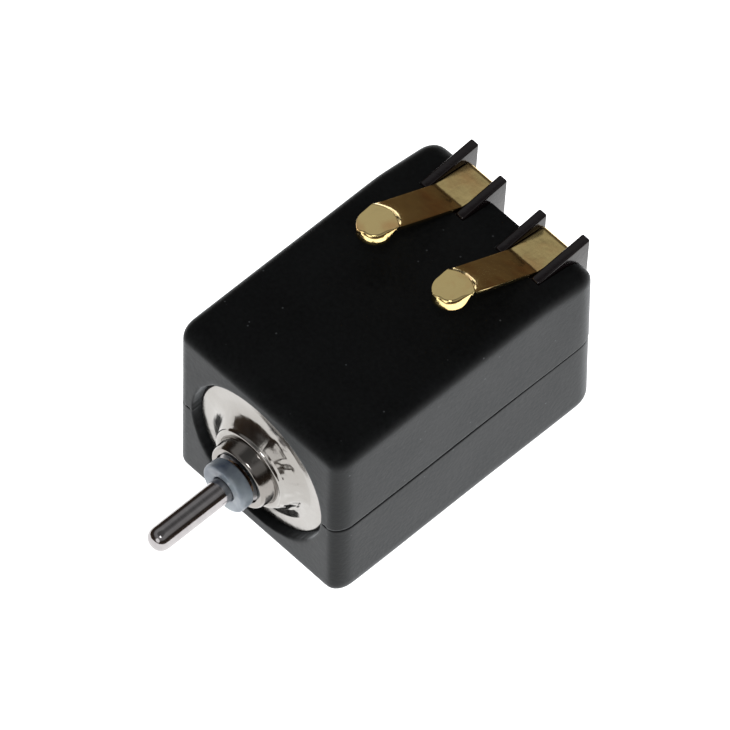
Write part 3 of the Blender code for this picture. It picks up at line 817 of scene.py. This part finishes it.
SEGMENT_RADIUS = 0.515
SEGMENT_BORE = SLEEVE + 0.025
SEGMENT_HALF = math.radians(54.5)
for number in (1, 2, 3):
    bar = turned(f"plated_segment_{number}", [
        (SEGMENT_BORE, segment_low.y, 0.0), (SEGMENT_RADIUS, segment_low.y, 0.02),
        (SEGMENT_RADIUS, segment_high.y, 0.02), (SEGMENT_BORE, segment_high.y, 0.0)], steps=60)
    sector = math.radians(120.0 * number - 60.0)
    pick_only(bar)
    bpy.ops.object.mode_set(mode="EDIT")
    sheet = bmesh.from_edit_mesh(bar.data)
    for face in sheet.faces:
        centre = face.calc_center_median()
        away = math.atan2(centre.z - AXIS_Z, centre.x) - sector
        away = math.atan2(math.sin(away), math.cos(away))
        face.select = abs(away) > SEGMENT_HALF
    bmesh.ops.delete(sheet, geom=[face for face in sheet.faces if face.select], context="FACES")
    bmesh.update_edit_mesh(bar.data)
    bpy.ops.mesh.select_all(action="SELECT")
    bpy.ops.mesh.fill_holes(sides=0)
    bpy.ops.mesh.normals_make_consistent(inside=False)
    bpy.ops.object.mode_set(mode="OBJECT")
    settle(bar, gold, "rotor", "gold", f"commutator_segment_{number}")

washer_low, washer_high = span("thrust_washer")
washer = turned("nylon_washer", [(HUB_BORE, washer_low.y, 0.02), (TUBE_RADIUS, washer_low.y, 0.04),
                                 (TUBE_RADIUS, washer_high.y, 0.04), (HUB_BORE, washer_high.y, 0.02)],
                steps=64)
settle(washer, nylon, "rotor", "blue_nylon", "thrust_washer")

# ---------------------------------------------------------------- rubber boot
# One moulding in soft black rubber, with a parting line where the mould's halves met, rounded edges,
# a bore for the motor and two slots at the back for the carrier's towers.

boot_low, boot_high = span("rubber_boot")
BORE_RADIUS = 2.035
SEAM_Z = 2.50
SEAM_HALF = 0.028
SEAM_DEPTH = 0.045
SLOPE_START = 2.11
SLOPE = 0.177
CORNER = 0.34
END_INSET = 0.33                   # how far the outside draws in at either end
END_RUN = 0.50                     # over this length
SEARCH_STEPS = 26
UPPER_STEPS = 118                  # directions above the parting line
LOWER_STEPS = 106
BODY_RINGS = 26
QUARTER = math.pi / 2
WAVE_HEIGHT = 0.010                # slight unevenness of the outside
SKIN_INSET = 0.028                 # keeps the waves inside the boot's own size
UPPER_PROUD = 0.018                # how far the upper half stands out on the right
RAG_COARSE = 0.020                 # torn edge of the front hole, in two sizes
RAG_FINE = 0.008


def outside(direction, y, inset):
    """Where a ray from the motor's axis leaves the boot's rounded section at y, drawn in by inset."""
    top = boot_high.z
    fall = max(0.0, y - SLOPE_START)
    top -= SLOPE * fall * fall / (fall + 0.12) if fall else 0.0
    middle, half_z = (boot_low.z + top) / 2, (top - boot_low.z) / 2
    near, far = 0.5, 5.0
    for _ in range(SEARCH_STEPS):
        reach = (near + far) / 2
        x, z = direction.x * reach, AXIS_Z + direction.y * reach - middle
        dx, dz = abs(x) - boot_high.x + CORNER, abs(z) - half_z + CORNER
        depth = math.hypot(max(dx, 0.0), max(dz, 0.0)) + min(max(dx, dz), 0.0) - CORNER
        if depth < -inset:
            near = reach
        else:
            far = reach
    return Vector((direction.x * near, AXIS_Z + direction.y * near))


def boot_angles():
    """Directions round the axis, with a close group at the parting line on either side."""
    seam = math.atan2(SEAM_Z - AXIS_Z, boot_high.x)
    pitch = SEAM_HALF / boot_high.x
    lines = [seam + pitch * step for step in (-2.2, -1.0, 0.0, 1.0, 2.2)]
    start, end = lines[-1], math.pi - lines[-1]
    angles = [start + (end - start) * i / UPPER_STEPS for i in range(UPPER_STEPS + 1)]
    angles += [math.pi - a for a in reversed(lines[:-1])]
    start, end = math.pi - lines[0], 2 * math.pi + lines[0]
    angles += [start + (end - start) * i / LOWER_STEPS for i in range(1, LOWER_STEPS + 1)]
    angles += [2 * math.pi + a for a in lines[1:-1]]
    return angles


def boot_rings():
    """Each ring of the boot as (y, share from bore to outside, inset): bore, front, outside, back."""
    rings = []
    front, back = boot_low.y, boot_high.y
    for y in (back - 0.06, 3.0, 2.0, 0.0, -2.0, front + 0.30, front + 0.12):
        rings.append((y, 0.0, END_INSET))
    for step in range(4):
        turn = step / 3 * QUARTER
        rings.append((front + 0.05 * (1 - math.sin(turn)), 0.05 * (1 - math.cos(turn)) / 0.5, END_INSET))
    rings += [(front, share, END_INSET) for share in (0.25, 0.45, 0.65, 0.85)]
    for step in range(8):
        turn = step / 7 * QUARTER
        rings.append((front + END_RUN * (1 - math.cos(turn)), 1.0, END_INSET * (1 - math.sin(turn))))
    straight = back - front - 2 * END_RUN
    rings += [(front + END_RUN + straight * step / BODY_RINGS, 1.0, 0.0) for step in range(1, BODY_RINGS)]
    for step in range(8):
        turn = step / 7 * QUARTER
        rings.append((back - END_RUN * (1 - math.sin(turn)), 1.0, END_INSET * (1 - math.cos(turn))))
    rings += [(back, share, END_INSET) for share in (0.7, 0.4, 0.12)]
    rings.append((back - 0.01, 0.03, END_INSET))
    return rings


def place_ring(sheet, ring):
    """Puts the selected ring of points where the boot's section at its y has them."""
    y, share, inset = ring
    for vert in sheet.verts:
        if not vert.select:
            continue
        direction = Vector((vert.co.x, vert.co.z - AXIS_Z)).normalized()
        bore = Vector((direction.x * BORE_RADIUS, AXIS_Z + direction.y * BORE_RADIUS))
        across = bore.lerp(outside(direction, y, inset), share) if share else bore
        vert.co = (across.x, y, across.y)


def soften(point):
    """Where a point of the boot really lies: a parting groove, a ragged rim and a slight unevenness."""
    direction = Vector((point.x, point.z - AXIS_Z))
    inward = Vector((-direction.x, 0.0, -direction.y)).normalized()
    moved = point.copy()
    seam_slope = (SEAM_Z - AXIS_Z) / boot_high.x
    off_seam = direction.y - seam_slope * abs(direction.x)
    reach = max(abs(point.x) / boot_high.x, abs(point.z - boot_high.z / 2) / (boot_high.z / 2))
    on_outside = min(1.0, max(0.0, (reach - 0.80) / 0.12))
    if abs(off_seam) < 0.006 * direction.length:
        if on_outside > 0.5:
            moved += inward * SEAM_DEPTH
        elif point.y < boot_low.y + 0.02 and direction.length > BORE_RADIUS + 0.08:
            moved.y += SEAM_DEPTH * 0.8
    near_rim = abs(direction.length - BORE_RADIUS - 0.02) < 0.10 and point.y < boot_low.y + 0.12
    if near_rim:
        ragged = noise.noise(Vector((point.x, 0.0, point.z)) * 3.0) * RAG_COARSE
        ragged += noise.noise(Vector((point.x, 3.0, point.z)) * 11.0) * RAG_FINE
        lower_left = max(0.0, 0.3 + inward.z * 0.6 + inward.x * 0.5)
        moved -= inward * ragged * (0.35 + lower_left)
    wave = noise.noise(point * 0.45 + Vector((3.1, 0.4, 1.7))) * WAVE_HEIGHT
    upper_right = off_seam > 0 and direction.x > 0
    proud = UPPER_PROUD * min(1.0, max(0.0, point.y / 3.0)) if upper_right else 0.0
    moved += inward * on_outside * (wave + SKIN_INSET - proud)
    return moved


directions = [Vector((math.cos(a), math.sin(a))) for a in boot_angles()]
bpy.ops.mesh.primitive_circle_add(vertices=len(directions), radius=BORE_RADIUS, fill_type="NOTHING")
boot = bpy.context.active_object
boot.name = "moulded_boot"
pick_only(boot)
for vert, direction in zip(boot.data.vertices, directions):
    vert.co = (direction.x * BORE_RADIUS, 0.0, AXIS_Z + direction.y * BORE_RADIUS)
bpy.ops.object.mode_set(mode="EDIT")
bpy.ops.mesh.select_all(action="SELECT")
first_ring, *later_rings = boot_rings()
place_ring(bmesh.from_edit_mesh(boot.data), first_ring)
for ring in later_rings:
    bpy.ops.mesh.extrude_region_move()
    sheet = bmesh.from_edit_mesh(boot.data)
    place_ring(sheet, ring)
    bmesh.update_edit_mesh(boot.data)
sheet = bmesh.from_edit_mesh(boot.data)
bmesh.ops.bridge_loops(sheet, edges=[edge for edge in sheet.edges if edge.is_boundary])
bmesh.update_edit_mesh(boot.data)
bpy.ops.mesh.select_all(action="SELECT")
bpy.ops.mesh.normals_make_consistent(inside=False)
bpy.ops.object.mode_set(mode="OBJECT")
for vert in boot.data.vertices:
    vert.co = soften(vert.co)
face_outwards(boot)
smoother = boot.modifiers.new("smoother", "SUBSURF")
smoother.levels = smoother.render_levels = 1
bpy.ops.object.modifier_apply(modifier="smoother")


TOWER_HALF = CHANNEL_HALF + RIB_THICKNESS + 0.01
for centre_x in tower_centres.values():
    cut_box(boot, (centre_x - TOWER_HALF, CARRIER_FRONT + 0.01, AXIS_Z),
            (centre_x + TOWER_HALF, boot_high.y + 1, boot_high.z + 1))
cut_box(boot, (tower_centres["left"] + TOWER_HALF - 0.1, 3.49, AXIS_Z),
        (tower_centres["right"] - TOWER_HALF + 0.1, boot_high.y + 1, boot_high.z + 1))

rubber, tree, shader = new_look("moulded_rubber", (0.008, 0.009, 0.010), 0.56, IOR=1.18, Sheen_Weight=0.59,
                                Sheen_Roughness=0.35)
shader.inputs["Sheen Tint"].default_value = (0.93, 0.97, 1.0, 1.0)
skin = use_group(tree, moulded, place_in_mm(tree), Grain_Scale=9.0, Dust_Scale=2.2)
body_tone = tint(tree, skin.outputs["Tone"], (0.003, 0.0033, 0.0036), (0.009, 0.010, 0.0105))
tree.links.new(tint(tree, skin.outputs["Dust"], body_tone, (0.07, 0.075, 0.08)),
               shader.inputs["Base Color"])
tree.links.new(remap(tree, skin.outputs["Tone"], 0.0, 1.0, 0.46, 0.62), shader.inputs["Roughness"])
add_bump(tree, shader, skin.outputs["Height"], 0.004)
settle(boot, rubber, "housing", "rubber", "rubber_boot", angle=50)
